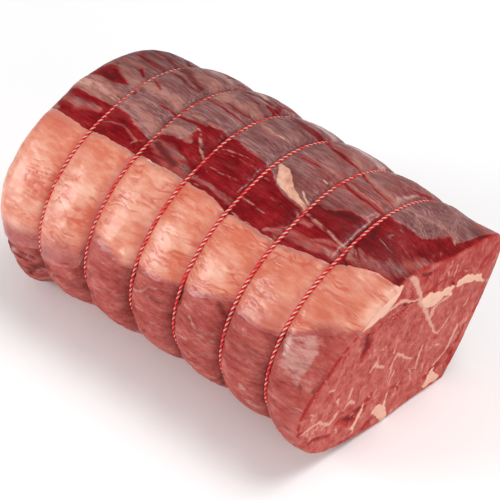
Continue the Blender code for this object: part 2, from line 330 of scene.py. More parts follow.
SKIN_MARKS = {
    "blood": [
        [(71, 147, 0.7), (78, 151, 0.9), (85, 150, 0.6)],
        [(73, 158, 0.7), (82, 165, 1), (88, 172, 0.6)],
        [(-97, 91, 9), (-88, 90.5, 9), (-82, 91.5, 6), (-75, 91, 1.4)],
        [(-93, 86, 3), (-86, 85, 1.4)], [(-79, 80, 2.6), (-74, 82.6, 1.6)],
        [(-100, 107.3, 1.5), (-88, 107, 1.5), (-71, 106.4, 2)],
        [(-98, 117.5, 3), (-84, 117, 6), (-72, 114, 9)],
        [(-69, 82, 1), (-64, 85.3, 1.4), (-58, 88.6, 2.2)], [(-50, 96, 1), (-43, 94.5, 1.8)],
        [(-46, 49, 4), (-45, 54, 2)], [(-70, 107.5, 5), (-58, 109, 3), (-49, 112, 3.4)],
        [(-18, 40, 3), (-19, 55, 3), (-16, 60, 4)], [(-19, 62, 3), (-14, 63, 3)],
        [(-41, 95, 2), (-34, 95.5, 2), (-27, 95, 2.2), (-22, 96.5, 6), (-18, 96, 11),
         (-12, 97, 12)], [(-36, 91, 0.8), (-31, 91, 1)],
        [(-30, 76.2, 1), (-24, 77.5, 1.3), (-19, 77, 1.2), (-13, 74.8, 1)],
        [(-41, 78, 1), (-36, 79.5, 1), (-28, 80.5, 1.3), (-20, 81, 1.5), (-13, 79.5, 0.8)],
        [(-11, 57, 3), (-4, 60.5, 5), (4, 61.5, 6), (13, 61, 5)],
        [(-12, 97, 7), (0, 98, 7), (12, 99, 6)], [(-5, 80.2, 0.5), (6, 80.2, 0.5)],
        [(14, 59, 2.4), (18, 63, 3.2), (23, 65.6, 2.6), (30, 67, 3.2), (36, 68, 1.6),
         (41, 67.6, 1)], [(20, 81, 1.2), (31, 81, 1)], [(18, 105, 6), (30, 107, 6), (40, 109, 6)],
        [(60, 59, 1.4), (65, 57, 3.6), (67, 51, 3)],
        [(42.4, 68, 2.4), (46, 70.9, 1.2), (52, 73.6, 0.8), (58, 75.7, 1), (67, 76.2, 0.8)],
        [(43, 80, 1.2), (48, 82.2, 1.6), (55, 83.2, 2), (62, 83, 2), (68, 82.4, 1.4)],
        [(44, 100, 5), (54, 100, 6), (68, 97, 11)], [(46, 111, 3), (57, 110.5, 3.4)],
        [(70, 87, 9), (76, 90, 12), (80, 92, 9)], [(72, 99, 8), (79, 98, 6)],
        [(86, 54, 3), (86.5, 62, 5), (87, 71, 3)], [(91, 40, 3), (91.5, 56, 4), (90, 62, 2)],
        [(90, 96, 2), (88, 101, 2.4)]],
    "deep": [
        [(-101, 190, 2), (-90, 191, 3), (-80, 193, 2)], [(-97, 200, 2), (-84, 201, 3)],
        [(-94, 62, 2), (-82, 62, 3), (-72, 65, 3)], [(-92, 71, 2), (-84, 72, 5), (-72, 72, 4)],
        [(-78, 52, 2), (-74, 56, 3)], [(-90, 91.5, 4), (-84, 92, 4)],
        [(-69.5, 68, 4), (-62, 70, 4), (-54, 73.6, 3.4), (-46, 75.4, 1.6)],
        [(-68, 73, 2), (-60, 76, 1.6), (-53, 78, 1.6), (-46, 78.3, 1.6)],
        [(-53, 50, 2), (-51, 56, 1.4)], [(-70, 93, 1.6), (-66, 95.6, 2)],
        [(-39, 60, 1), (-30, 60, 2.4), (-20, 58.6, 2)], [(-36, 65, 1), (-22, 65.4, 2)],
        [(-36, 112.5, 3), (-29, 115, 4), (-21, 117.6, 4)], [(-9, 57.5, 2), (0, 61, 2)],
        [(24, 66.5, 1), (31, 67.4, 1)], [(48, 98, 2), (56, 96, 3), (62, 93, 4)],
        [(71, 90, 4), (74, 96, 3)]],
    "peach": [
        [(-92, 80, 6), (-80, 78, 4)], [(-88, 84, 3), (-76, 87.5, 5), (-71, 88, 5)],
        [(-100, 100, 10), (-86, 100.2, 10), (-71, 101, 9)], [(-98, 118, 4), (-92, 118.4, 2)],
        [(-55, 70, 6), (-49, 68, 9), (-43, 69, 9)],
        [(-69, 88, 5), (-58, 91, 5), (-48, 89.5, 6), (-42, 91, 4)],
        [(-68, 101.5, 4), (-55, 102.6, 5), (-43, 106, 8)],
        [(-40, 68, 5), (-35, 71.6, 9), (-31, 74, 6)], [(-37, 76.6, 3), (-31, 77, 3)],
        [(-28, 72.5, 4), (-22, 72, 8), (-14, 71.5, 6)], [(-41, 91.4, 2), (-27, 92, 2)],
        [(-40, 103, 6), (-30, 102.6, 6), (-23, 104.4, 3)], [(-24, 92, 2), (-16, 90.4, 1)],
        [(-9, 75.6, 1), (-5, 77.8, 3), (2, 78.4, 2.6), (12, 77.2, 1.6)],
        [(14, 90, 3), (18, 90.4, 4)], [(22, 61, 1.6), (30, 61.6, 2), (37, 65.4, 4), (41, 65, 3)],
        [(17, 77.4, 1), (22, 79, 1.6), (28, 79.5, 1.4), (36, 79, 2), (41, 78, 2)],
        [(42.6, 66.4, 1.6), (48, 70, 2.2), (55, 72.8, 3), (62, 73.6, 3.6), (68, 74, 3)],
        [(86, 52, 1), (82.4, 57, 1.2), (80, 64, 1), (77, 70, 1), (72, 74, 1)],
        [(70, 105, 2), (73, 109, 4), (78, 109, 3)], [(33, 97, 3), (41, 99, 3)]],
    "fat": [
        [(17, 91, 2.4), (21, 93, 6), (25, 96.8, 7.4), (30, 99, 5), (36, 101, 3), (41, 101.2, 3)],
        [(36, 96.4, 1.6), (38, 98, 1.2), (41, 98.6, 1)], [(37, 86, 0.8), (39, 86, 0.8)],
        [(0, 78.8, 0.8), (9, 78, 0.8)]],
    "film": [
        [(-94, 111.6, 5.6), (-86, 112, 6), (-75, 110, 3)],
        [(-38, 112, 5), (-30, 114, 9), (-22, 116, 9), (-14, 118, 6)],
        [(-69, 116, 0.6), (-56, 113, 0.8), (-46, 116, 1.4)],
        [(34, 121.4, 1.2), (37, 118.8, 2.4), (40.5, 117, 5), (41.5, 119.6, 5)],
        [(43, 108, 3), (50, 107.4, 2)], [(55, 113, 1.4), (62, 109, 2.4), (68, 107.6, 2)],
        [(44, 116, 5), (56, 115.4, 5), (68, 112, 4)], [(43, 93, 5), (52, 94, 4)],
        [(73, 103.6, 1.4), (79, 105.6, 4), (84, 101, 6), (88, 95, 5), (90, 84, 5), (91, 76, 4)],
        [(-12, 118, 2), (0, 117.4, 1.6), (12, 118, 3)]],
    "pale": [
        [(-99, 101, 5), (-86, 100, 4), (-73, 101.4, 3)],
        [(-25, 97, 1.2), (-21, 100.5, 1.3), (-17, 104, 1.4), (-13, 107, 1.3)],
        [(-19.5, 97.5, 0.4), (-14, 97.2, 0.6)],
        [(-47, 118.6, 0.5), (-45, 115.4, 0.8), (-42, 113, 1)],
        [(-38, 62, 1), (-30, 63, 1), (-20, 61, 0.8)],
        [(-10, 98.6, 0.3), (0, 97, 0.6), (7, 96, 0.3)], [(-12, 100.6, 0.2), (10, 98.4, 0.2)],
        [(-11, 109.4, 0.3), (0, 110, 0.5), (8, 108.4, 0.4)], [(-9, 111, 0.4), (-6, 112, 0.4)],
        [(-11.6, 117, 0.8), (-8, 116.6, 0.8)], [(-7, 120.4, 0.6), (-4, 119.6, 0.4)],
        [(-10, 122, 1), (-6, 121.6, 1.2), (-4, 122.6, 0.8)], [(-3, 93.6, 0.4), (-1, 92.4, 0.8)],
        [(14, 113, 0.5), (22, 114, 0.8), (30, 114.6, 0.5)], [(27, 107, 0.3), (36, 108, 0.3)],
        [(14, 99, 0.3), (19, 100, 0.3)], [(15, 122, 0.6), (22, 123, 0.8), (28, 122.4, 0.4)],
        [(34, 121.4, 0.3), (40.4, 115.6, 0.5)],
        [(42, 103.4, 1.2), (47, 104, 1.3), (53, 105.2, 1.4), (60, 105.7, 1.6), (68, 106, 1.6)],
        [(46, 79.6, 0.4), (52, 81.3, 0.6), (67, 80.6, 0.5)], [(78, 87, 0.4), (77, 89, 0.4)],
        [(76, 93.4, 0.4), (81, 93, 0.4)], [(87, 52, 1), (88, 51.4, 1)],
        [(72, 105, 0.5), (76, 107.6, 0.6), (80, 108, 1)],
        [(-11, 174.6, 0.8), (-4, 171, 1), (0, 167, 0.8), (9, 165, 0.5)],
        [(-8, 179, 0.4), (10, 178, 0.4)], [(-6, 183, 0.4), (8, 182, 0.4)],
        [(16, 182, 0.8), (21, 179.4, 0.8), (27, 178, 1.4)], [(20, 165.4, 1), (25, 165.6, 0.6)],
        [(25, 168, 1), (30, 173, 1.6), (41, 173, 1)], [(58, 183, 2), (60, 184, 2)],
        [(20, 186, 0.4), (38, 182, 0.4)], [(46, 175, 0.3), (66, 173, 0.3)],
        [(46, 162, 0.5), (60, 160, 0.6)], [(52, 178, 0.3), (67, 178, 0.3)],
        [(-14, 159, 3), (-16, 164, 3)], [(84, 166, 0.6), (89, 167, 0.8)],
        [(88, 178, 0.6), (93, 177.4, 0.6)], [(-60, 187, 0.3), (-44, 184, 0.4)],
        [(-90, 191, 2), (-86, 190, 2)], [(-84, 203, 0.5), (-76, 200, 0.5)]],
    # Painted sheen: grey highlights on the crown and beside the twine, and glints on the rim by the
    # cut. Low on the last bulge, a pale wet membrane with painted sheen on it.
    "haze": [
        [(-64, 57, 3), (-55, 58, 5), (-46, 57.4, 3)], [(-34, 54.6, 2), (-25, 56.8, 3)],
        [(-8, 52, 6), (12, 52, 6)], [(16, 50, 6), (40, 52, 6)], [(66, 60, 1), (66, 72, 3)],
        [(40.6, 96, 0.6), (40.8, 114, 0.8)], [(66.8, 84, 0.8), (66.8, 114, 0.8)],
        [(89.4, 62, 2), (89, 80, 2), (88, 98, 3)], [(11.4, 97, 0.4), (11.6, 112, 0.6)],
        [(90.4, 74, 2), (90.6, 98, 4)],
        [(74, 144, 8), (77, 150, 13), (82, 160, 14), (87, 167, 8)], [(85, 104, 0.6), (88, 97, 2)]],
    "fold": [
        [(-106, 187, 3), (-90, 187.6, 3), (-80, 189.6, 1.6)], [(-38, 190, 3), (-34, 188, 2)],
        [(-66, 190, 4), (-62, 189, 4)]],
    # Creases, sunk into the surface and darkened with painted shade.
    "crease": [
        [(-103, 187.4, 3), (-88, 187.6, 3), (-76, 190, 2)], [(-79, 198, 3), (-71, 194, 5)],
        [(-86, 208, 2), (-80, 200, 2)], [(-67, 188, 5), (-61, 188, 6)],
        [(-39, 188.6, 4), (-34, 186, 3)], [(-5, 193, 2), (-1, 189, 1)],
        [(36, 206, 2), (41, 194, 3)], [(14.6, 163, 3), (15, 168, 2)],
        [(28, 187, 0.6), (31, 186, 0.6)], [(36, 158, 3), (41, 162, 3)],
        [(-28, 122, 0.8), (-33, 122, 0.6)], [(75, 113.4, 1), (72, 111, 0.6)],
        [(93, 162, 2), (92, 170, 2)], [(69, 172, 1.2), (69, 182, 1.2)]]}
FEATHER = dict(  # how soft the edges of each kind of mark are
    blood=1.2, deep=1.6, peach=1.6, fat=0.8, film=2.2, pale=0.9, haze=2.6, fold=2.0, crease=1.4)
PATCHY = dict(peach=0.7, film=0.6, pale=0.9, haze=0.7, deep=0.5)  # how much each comes and goes
print(sum(len(paths) for paths in SKIN_MARKS.values()), "marks on the skin")


# %% Where each tissue shows on the skin
def edge_at(edge, x):
    """Angle of an edge at a station, wandering a little."""
    x = np.asarray(x, float)
    p = np.stack([x / 5.0, np.full(x.shape, edge[0, 1]), np.zeros(x.shape)], -1)
    return np.interp(x, edge[:, 0], edge[:, 1]) + 0.7 * fractal(p, 5)


def from_below(angle):
    """The same angle between -90 and 270, so that it jumps underneath."""
    return np.mod(angle + 90, 360) - 90


def string_shade(x, angle, t, front):
    """Painted shade beside the strings, deepest low on the front, and in dark patches there."""
    shade = strongest(decay(next_string(x), 3.4) * within(t, 122, 160, 235, 262),
                      0.8 * decay(string_distance(x), 1.3) * ease(150, 165, t))
    patches = 0.45 * front * ease(0.15, 0.55, round_noise(x, angle, 12, 3, 62))
    lighter_by_the_board = 1 - 0.6 * ease(186, 198, t)
    return strongest(shade * lighter_by_the_board, 0.55 * bell(string_distance(x), 1.2), patches)


def skin_tissues(x, angle):
    """Shares of each tissue over the skin, with painted shade in creases, by the strings and on the
    crown, and painted sheen.
    """
    def noise(along, across, seed):
        return round_noise(x, angle, along, across, seed)

    t = from_below(angle)
    u, v = x + 1.2 * noise(8, 5, 11), t + 0.8 * noise(8, 5, 12) + 0.35 * noise(5, 1.2, 15)
    streaks, patchy, torn = noise(22, 2.2, 13), noise(7, 1.6, 18), noise(4, 1.4, 19)
    share = {key: marks(u, v, paths, FEATHER[key])
             * np.clip(0.85 + PATCHY.get(key, 0) * patchy, 0, 1)
             for key, paths in SKIN_MARKS.items()}
    bare = edge_at(BARE_TOP, x)
    over = ease(0.8, -0.8, v - bare)  # silver skin lies above the bare muscle
    front = within(t, 150, 165, 235, 262)
    back = ease(46, 30, t)  # out of sight the same tissues go on in long streaks

    silver = strongest(over * (0.9 + 0.25 * streaks), 0.3 * front * (0.4 + 0.9 * streaks),
                       share["film"] * (0.62 + 0.5 * streaks))
    silver = silver * (1 - strongest(share["blood"], 0.8 * share["deep"]))
    silver = silver * (1 - 0.3 * within(x, 14, 30, 66, 72))
    silver = silver + back * (ease(-0.3, 0.3, streaks + 0.1) * 0.85 - silver)
    bare_muscle = ease(-0.8, 0.8, v - bare) * ease(125, 122, t)
    blood = strongest(share["blood"], bare_muscle * (0.95 + 0.2 * streaks))
    blood = blood * (1 - 0.7 * share["film"]) * (0.9 + 0.2 * noise(16, 5, 14))
    # Painted shade in the creases and beside the strings.
    crease = strongest(share["crease"],
                       string_shade(x, angle, t, front) * (0.85 + 0.6 * streaks))
    fringe = bell(v - bare, 1.3) * ease(0.0, 0.5, torn) * ease(60, 75, t)
    ragged = 1 - ease(84, 86, x) * (1 - 0.6 * ease(-0.15, 0.5, torn))
    # Painted sheen and pale membrane, with a pale fringe along the edge of the bare muscle.
    haze = strongest(share["haze"] * ragged, 0.6 * fringe)
    more_low_down = 1 + 0.9 * ease(184, 196, t)
    pale = strongest(share["pale"] * ease(-0.7, 0.1, torn),
                     0.4 * more_low_down * front * ease(0.2, 0.6, noise(9, 3, 61)))
    peach = strongest(share["peach"], back * ease(0.25, 0.5, noise(20, 6, 16)))
    # The first term is painted shade on the crown towards the far end. The other two darken bands
    # along the crown.
    shade_and_darker = 0.45 * ease(-50, -90, x) * ease(98, 80, t)
    shade_and_darker = shade_and_darker + (0.36 * ease(14, 24, x) * within(t, 84, 92, 100, 108)
                       * (1 + 0.2 * ease(38, 44, x)))
    shade_and_darker = shade_and_darker + 0.25 * within(x, -44, -34, 12, 22) * within(t, 50, 56, 66, 76)
    deep = strongest(share["deep"], shade_and_darker * (1 + 0.6 * streaks),
                     0.6 * back * ease(0.2, 0.5, noise(24, 4, 17)))
    return dict(silver=silver, peach=peach, fat=share["fat"], blood=blood, deep=deep,
                crease=crease, pale=pale, haze=haze, fold=share["fold"])


# %% Relief of the skin
def skin_relief(x, angle, tissue):
    """Millimetres out: lumps, fibres, folds that fade away from the twine, islands and creases."""
    t = from_below(angle)
    lumps = 0.6 * round_noise(x, angle, 16, 12, 21)
    fibres = 0.18 * round_noise(x, angle, 14, 1.5, 22)
    slant = angle + 1.5 * round_noise(x, angle, 9, 7, 24)
    folded = 1 - 2 * np.abs(round_noise(x, slant, 10, 2.6, 23))
    front = within(t, 148, 165, 235, 262)
    folds = 0.4 * folded * (decay(string_distance(x), 5) + 1.3 * front)
    raised = 1.0 * tissue["fat"] + 0.3 * tissue["silver"] + 0.3 * tissue["peach"]
    raised = raised + 0.25 * tissue["pale"] - 0.25 * tissue["deep"] - 0.15 * tissue["blood"]
    pressed = 1 - 0.75 * bell(string_distance(x), 1.5)
    covered = ease(1, 6, np.minimum(t - edge_at(FAT_TOP, x), edge_at(FAT_FOOT, x) - t))
    covered = covered * ease(CUT_END - 1.5, CUT_END - 7, x)  # pressed in under the fat
    relief = (lumps + fibres + folds + raised) * pressed * (1 - covered) - 0.5 * covered
    return relief - 0.9 * tissue["crease"] - 3.0 * tissue["fold"]


# %% [markdown]
# ## The cut end
# The knife leaves a nearly flat face across the grain. It shows what the outside hides: a wedge of
# fat, the seam between two muscles with fat in it, and thin marbling that follows the grain. These
# are marks again, now in millimetres across and up the face.

# %% Marks on the cut face: across, up, width
CUT_FAT = [
    [(-37, 72, 2), (-32, 76, 8), (-25, 80, 13), (-17, 83, 14), (-11, 85, 9)],
    [(8, 67, 3), (12, 65, 8), (17, 62, 8), (22, 62, 4), (26, 61, 3)], [(20, 64, 3), (29, 61, 2)],
    [(24, 60, 1), (28, 58, 2)], [(33, 61, 4), (38, 61, 5), (42, 59, 4)],
    [(43, 59, 3), (47, 56, 4), (51, 52, 1)], [(-13, 13, 4), (-9, 9, 6), (-6, 4, 5), (-4, 0, 3)],
    [(-7, 10, 2), (-5, 18, 1)], [(22, 4, 4), (25, 8, 5), (29, 4, 4)], [(25, 10, 3), (27, 12, 1)],
    [(-29, 11, 1), (-26, 13, 2), (-23, 18, 1.6), (-21, 22, 1)], [(-27, 12, 2), (-26, 7, 1)]]
CUT_SEAMS = [
    [(-38, 71, 1), (-24, 74, 2), (-15, 75.5, 2.2), (-8, 76, 2), (-4, 74, 1.4), (-1, 71, 1.2),
     (5, 69, 1)],
    [(-4, 88, 2.4), (1, 82, 2.6), (4, 75, 2), (6, 68, 2.4), (10, 61, 2.2), (13, 55, 2.4),
     (15, 50, 1.4), (19, 44, 1.6), (24, 35, 0.6)],
    [(15, 51, 1), (17, 56, 1.4), (21, 57, 1.6), (29, 57, 1)], [(19, 56, 2), (17, 52, 1)],
    [(-4, 42, 1.4), (-2, 39, 1.2), (3, 36, 1), (8, 31, 0.8)],
    [(-4, 41, 1), (-6, 34, 0.8), (-7, 24, 0.5)],
    [(-60, 31, 1), (-50, 32, 1.6), (-47, 28, 1.4), (-43, 25.5, 1.2), (-38, 29, 1.4)],
    [(-20, 42, 0.8), (-17, 44.5, 2), (-14, 42, 1.2), (-12, 39, 0.8)],
    [(-17, 45, 1), (-16, 48, 0.5)], [(-31, 38, 1.6), (-32, 34, 0.8)],
    [(-39, 38, 1.4), (-38, 34, 0.8)], [(-56, 41, 0.8), (-53, 38, 0.5)],
    [(-35, 28, 0.8), (-31, 30.5, 2), (-28, 28, 1)], [(-4, 31, 1), (-5, 24, 0.6)],
    [(14, 35, 1), (13, 28, 1.6), (12, 20, 0.6)], [(8, 24, 0.6), (10, 14, 0.5)],
    [(38, 33, 1), (36, 31, 2), (35, 24, 2), (31, 18, 1.4), (26, 14, 1.6)],
    [(43, 46, 0.8), (41, 42, 0.6)], [(46, 35, 0.8), (43, 32, 1.2)],
    [(-5, 50, 0.5), (-6, 44, 0.5)], [(18, 21, 0.8), (17, 16, 0.5)],
    [(24, 29, 1.4), (26, 28, 1.2)], [(-38, 18, 0.8), (-38, 14, 0.6)],
    [(30, 74, 1), (28, 68, 0.6)], [(31, 44, 0.6), (27, 38, 1), (22, 37, 0.6)],
    [(-46, 48, 0.6), (-42, 46, 0.8)], [(2, 20, 0.6), (0, 12, 0.8)]]
CUT_BLOOD = [
    [(-64, 36, 4), (-57, 48, 5), (-46, 60, 5), (-38, 68, 3)],
    [(-24, 68, 6), (-25, 60, 6), (-27, 53, 2)], [(2, 85, 2), (8, 81, 3), (15, 80, 2)],
    [(-36, 22, 5), (-28, 18, 8), (-20, 22, 5), (-16, 26, 2)],
    [(-62, 24, 4), (-52, 21, 3), (-42, 17, 3)], [(37, 17, 7), (40, 10, 5), (34, 8, 4)],
    [(6, 26, 1.6), (7, 22, 1)], [(27, 65, 1.4), (32, 60, 2)], [(22, 10, 5), (30, 12, 4)],
    [(-18, 5, 4), (-14, 8, 3)], [(-2, 20, 3), (2, 15, 3)], [(44, 30, 3), (40, 22, 4)],
    [(9, 71, 2), (22, 69, 2), (40, 66, 2)], [(48, 62, 3), (56, 70, 4)]]
CUT_DEEP = [
    [(-25, 66, 3), (-25, 60, 4), (-27, 55, 1.4)], [(-33, 21, 2.4), (-28, 18, 3.6), (-23, 22, 2)],
    [(4, 84, 1), (8, 81.6, 2), (14, 80, 1)], [(28, 64, 1), (31, 61, 1.2)],
    [(-8, 73, 1.6), (2, 69, 1.6)], [(-56, 23, 2), (-48, 20, 1.6)], [(38, 14, 2.4), (40, 11, 1)]]
BETWEEN_MUSCLES = (-12, 5, 20, 33, 60), (76, 69, 65, 62, 58)  # across, and the height there
print(len(CUT_FAT + CUT_SEAMS + CUT_BLOOD + CUT_DEEP), "marks on the cut face")


# %% Where each tissue shows on the cut face
def cut_tissues(y, z):
    """Shares of fat, pale seam, blood and grain on the cut face."""
    flat = np.zeros(np.shape(y))
    p = np.stack([y / 5, z / 5, flat], -1)
    u, v = y + 1.5 * fractal(p, 31, 5), z + 1.5 * fractal(p, 32, 5)
    kinds = ((CUT_FAT, 0.9), (CUT_SEAMS, 1.0), (CUT_BLOOD, 2.2), (CUT_DEEP, 1.4))
    fat, seam, blood, deep = (marks(u, v, paths, soft) for paths, soft in kinds)
    torn, fleck = fractal(p * 2.4, 40, 3), fractal(p * 4, 36)
    blood, deep = blood * ease(-0.6, 0.05, torn), deep * ease(-0.6, 0.1, torn)
    grain = fractal(np.stack([(y + 0.25 * z) / 1.6, z / 6.0, flat], -1), 33)
    marble = 1 - np.abs(fractal(np.stack([(y + 0.3 * z) / 6, z / 9, flat], -1), 34, 4)) * 12
    patchy = ease(0.0, 0.45, fractal(p * 0.6, 38, 2))
    upper_muscle = ease(-2, 2, z - np.interp(y, *BETWEEN_MUSCLES))
    mottle = bell(y + 8, 15) * bell(z - 68, 6)
    edge = ease(6, 1, cut_radius(np.degrees(np.arctan2(z - SPINE, y))) - np.hypot(y, z - SPINE))
    seam = strongest(seam, ease(0, 0.9, marble) * patchy * 0.6,
                     0.45 * mottle * ease(0.2, 0.5, fleck))
    blood = strongest(
        blood, upper_muscle * (0.45 + 0.7 * fractal(p * 1.6 * (1.0, 0.4, 1.0), 35)),
        mottle * ease(-0.3, 0.2, fleck), 0.7 * edge * ease(-0.1, 0.4, fractal(p * 0.7, 39, 2)))
    return dict(fat=fat, pale=seam, blood=blood * (1 - seam), deep=deep * (1 - seam), grain=grain)


# %% [markdown]
# ## From a grid of points to a mesh
# A grid of points becomes faces by joining each point to its neighbours, and numpy does the
# counting for the whole grid at once. A tube is closed by a fan to a pole at each end, and the
# flattened tube of the fat by joining its outside to its inside, so that no piece is left open.
# The shares of tissue ride along as attributes, one number for each point.

# %% Grid to mesh
def add_mesh(name, points, faces, attributes, material, node, sharp=60):
    """An object from points in millimetres of the joint's own frame, and lists of faces."""
    mesh = bpy.data.meshes.new(name)
    mesh.from_pydata((points + PLACE) * MM, [], faces)
    for key, values in attributes.items():
        layer = mesh.attributes.new(key, "FLOAT", "POINT")
        layer.data.foreach_set("value", np.ascontiguousarray(values, np.float32).ravel())
    mesh.shade_smooth()
    mesh.set_sharp_from_angle(angle=math.radians(sharp))
    mesh.materials.append(material)
    piece = bpy.data.objects.new(name, mesh)
    bpy.context.scene.collection.objects.link(piece)
    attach(piece, "root")
    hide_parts(node)
    print(f"{name}: {len(points)} points, {sum(len(face) - 2 for face in faces)} triangles")
    return piece


def side_quads(rows, columns):
    """Quads of a grid closed across its columns, as an array."""
    i, j = np.meshgrid(np.arange(rows - 1), np.arange(columns), indexing="ij")
    k = (j + 1) % columns
    return np.stack([i * columns + j, i * columns + k, (i + 1) * columns + k,
                     (i + 1) * columns + j], -1).reshape(-1, 4)


def tube_faces(rows, columns):
    """The side of a tube, and a fan to a pole at each end."""
    j = np.arange(columns)
    k = (j + 1) % columns
    last = (rows - 1) * columns
    start = np.stack([k, j, np.full(columns, rows * columns)], -1)
    end = np.stack([last + j, last + k, np.full(columns, rows * columns + 1)], -1)
    return side_quads(rows, columns).tolist() + start.tolist() + end.tolist()


def sheet_faces(rows, columns):
    """A flattened tube: each end is closed by joining outer columns to the inner ones below."""
    i = np.arange(1, columns // 2 - 1)
    end = np.stack([i, i + 1, columns - 1 - i, columns - i], -1)
    tips = np.array([(0, 1, columns - 1), (columns // 2 - 1, columns // 2, columns // 2 + 1)])
    last = (rows - 1) * columns
    caps = [end[:, ::-1], tips[:, ::-1], end + last, tips + last]
    return side_quads(rows, columns).tolist() + [face for cap in caps for face in cap.tolist()]


def spaced(stops, pitches):
    """Positions through the stops, spaced about each stretch's pitch."""
    parts = [
        np.linspace(a, b, max(2, int(round((b - a) / pitch)) + 1))[:-1]
        for a, b, pitch in zip(stops, stops[1:], pitches)
    ]
    return np.concatenate(parts + [[stops[-1]]])


# %% [markdown]
# ## Shader maths as plain expressions
# Node trees get long, so a small class wraps a socket. Adding or multiplying two wrapped sockets
# adds a Math node. Colours are blended by Mix nodes, because a Math node would turn them grey.

# %% A class for shader expressions
class Value:
    """A socket, or a number, that takes part in shader maths."""

    def __init__(self, tree, socket):
        self.tree, self.socket = tree, socket

    def math(self, operation, *others):
        return node(self.tree, "ShaderNodeMath", {"operation": operation}, [self, *others])

    def __add__(self, other): return self.math("ADD", other)
    def __radd__(self, other): return self.math("ADD", other)
    def __sub__(self, other): return self.math("SUBTRACT", other)
    def __rsub__(self, other): return (self * -1) + other
    def __mul__(self, other): return self.math("MULTIPLY", other)
    def __rmul__(self, other): return self.math("MULTIPLY", other)

    def between(self, low, high):
        """Eases from 0 at low to 1 at high."""
        return node(self.tree, "ShaderNodeMapRange", {"interpolation_type": "SMOOTHSTEP"},
                    {"Value": self, "From Min": low, "From Max": high})


def node(tree, kind, settings, values, output=0):
    """Adds a node, applies its settings, then sets or links its sockets."""
    made = tree.nodes.new(kind)
    for key, value in settings.items():
        if key == "stops":
            ramp = made.color_ramp
            while len(ramp.elements) < len(value):
                ramp.elements.new(0.5)
            for element, (place, colour) in zip(ramp.elements, value):
                element.position, element.color = place, (*colour, 1)
        else:
            setattr(made, key, value)
    items = values.items() if isinstance(values, dict) else enumerate(values)
    for key, value in items:
        socket = made.inputs[key]
        if isinstance(value, Value):
            tree.links.new(value.socket, socket)
        else:
            socket.default_value = value
    return Value(tree, made.outputs[output])


class Finish:
    """A Principled material under construction, with short ways to its usual nodes."""

    def __init__(self, name, **constants):
        self.material = bpy.data.materials.new(name)
        self.material.use_nodes = True
        self.tree = self.material.node_tree
        self.shader = self.tree.nodes["Principled BSDF"]
        for key, value in constants.items():
            self.shader.inputs[key.replace("_", " ")].default_value = value
        self.place = node(self.tree, "ShaderNodeTexCoord", {}, {}, "Object")

    def share(self, name):
        """An attribute of the mesh."""
        return node(self.tree, "ShaderNodeAttribute", {"attribute_name": name}, {}, "Fac")

    def stretched(self, x, y, z):
        """Object coordinates divided into cells of x by y by z millimetres."""
        scale = (1 / (x * MM), 1 / (y * MM), 1 / (z * MM))
        return node(self.tree, "ShaderNodeMapping", {}, {"Vector": self.place, "Scale": scale})

    def noise(self, cell, detail=3.0, rough=0.55, warp=0.0):
        """Noise with cells of the given size: one number, or three for X, Y and Z."""
        cell = (cell,) * 3 if isinstance(cell, (int, float)) else cell
        return node(self.tree, "ShaderNodeTexNoise", {}, {
            "Vector": self.stretched(*cell), "Scale": 1.0, "Detail": detail,
            "Roughness": rough, "Distortion": warp}, "Fac")

    def mix(self, share, a, b):
        """Colour a where share is 0 and colour b where it is 1."""
        a, b = (c if isinstance(c, Value) else (*c, 1) for c in (a, b))
        return node(self.tree, "ShaderNodeMix", {"data_type": "RGBA"}, {0: share, 6: a, 7: b}, 2)

    def layered(self, base, layers):
        """Colours laid over base in turn, each where its share eases from low to high."""
        for colour, share, low, high, strength in layers:
            base = self.mix(share.between(low, high) * strength, base, colour)
        return base

    def ramp(self, share, *stops):
        """A colour for each value of share."""
        return node(self.tree, "ShaderNodeValToRGB", {"stops": stops}, {"Fac": share})

    def bump(self, height, distance, strength=1.0, over=None):
        """A Bump node of that height in millimetres, on top of another if given."""
        values = {"Height": height, "Distance": distance * MM, "Strength": strength}
        if over is not None:
            values["Normal"] = over
        return node(self.tree, "ShaderNodeBump", {}, values)

    def finish(self, **links):
        """Links the values that change over the surface to the shader."""
        for key, value in links.items():
            self.tree.links.new(value.socket, self.shader.inputs[key.replace("_", " ")])
        return self.material


# %% [markdown]
# ## Lean beef
# Bare muscle is a deep wet crimson where blood lies on it, and a paler brick red where it is cut.
# Silver skin veils it with a mauve grey that is drawn out in fibres along the joint. One material
# holds them all, because on the real joint they run into each other with no edge.

# %% Colours of the lean: places on a ramp, or one colour
MUSCLE = (0.34, (0.28, 0.030, 0.026)), (0.5, (0.40, 0.078, 0.065)), (0.68, (0.54, 0.16, 0.13))
WET_MUSCLE = (0.38, (0.12, 0.002, 0.004)), (0.5, (0.20, 0.005, 0.008)), (0.64, (0.30, 0.018, 0.02))
SLICED = (0.34, (0.36, 0.034, 0.029)), (0.52, (0.51, 0.105, 0.084)), (0.68, (0.64, 0.19, 0.15))
SILVER = (0.38, (0.135, 0.045, 0.044)), (0.5, (0.22, 0.092, 0.088)), (0.64, (0.36, 0.19, 0.175))
PEACH_FILM = (0.36, (0.32, 0.105, 0.085)), (0.62, (0.45, 0.205, 0.165))
TISSUE = (0.3, (0.46, 0.21, 0.17)), (0.7, (0.60, 0.33, 0.27))
LARD = (0.34, (0.50, 0.21, 0.145)), (0.6, (0.74, 0.42, 0.31))
# The first of these colours also paints shade on the crown, the second is painted shade in creases
# and beside the strings, and the third is a pale membrane colour that also paints sheen.
DARK_AND_SHADE, CREASE_SHADE, MEMBRANE_AND_SHEEN = (0.08, 0.008, 0.009), (0.08, 0.004, 0.005), (0.64, 0.36, 0.31)
WET_CUT, DARK_CUT = (0.38, 0.014, 0.014), (0.15, 0.003, 0.005)
TISSUE_CUT, LARD_CUT = (0.80, 0.43, 0.33), (0.86, 0.50, 0.37)


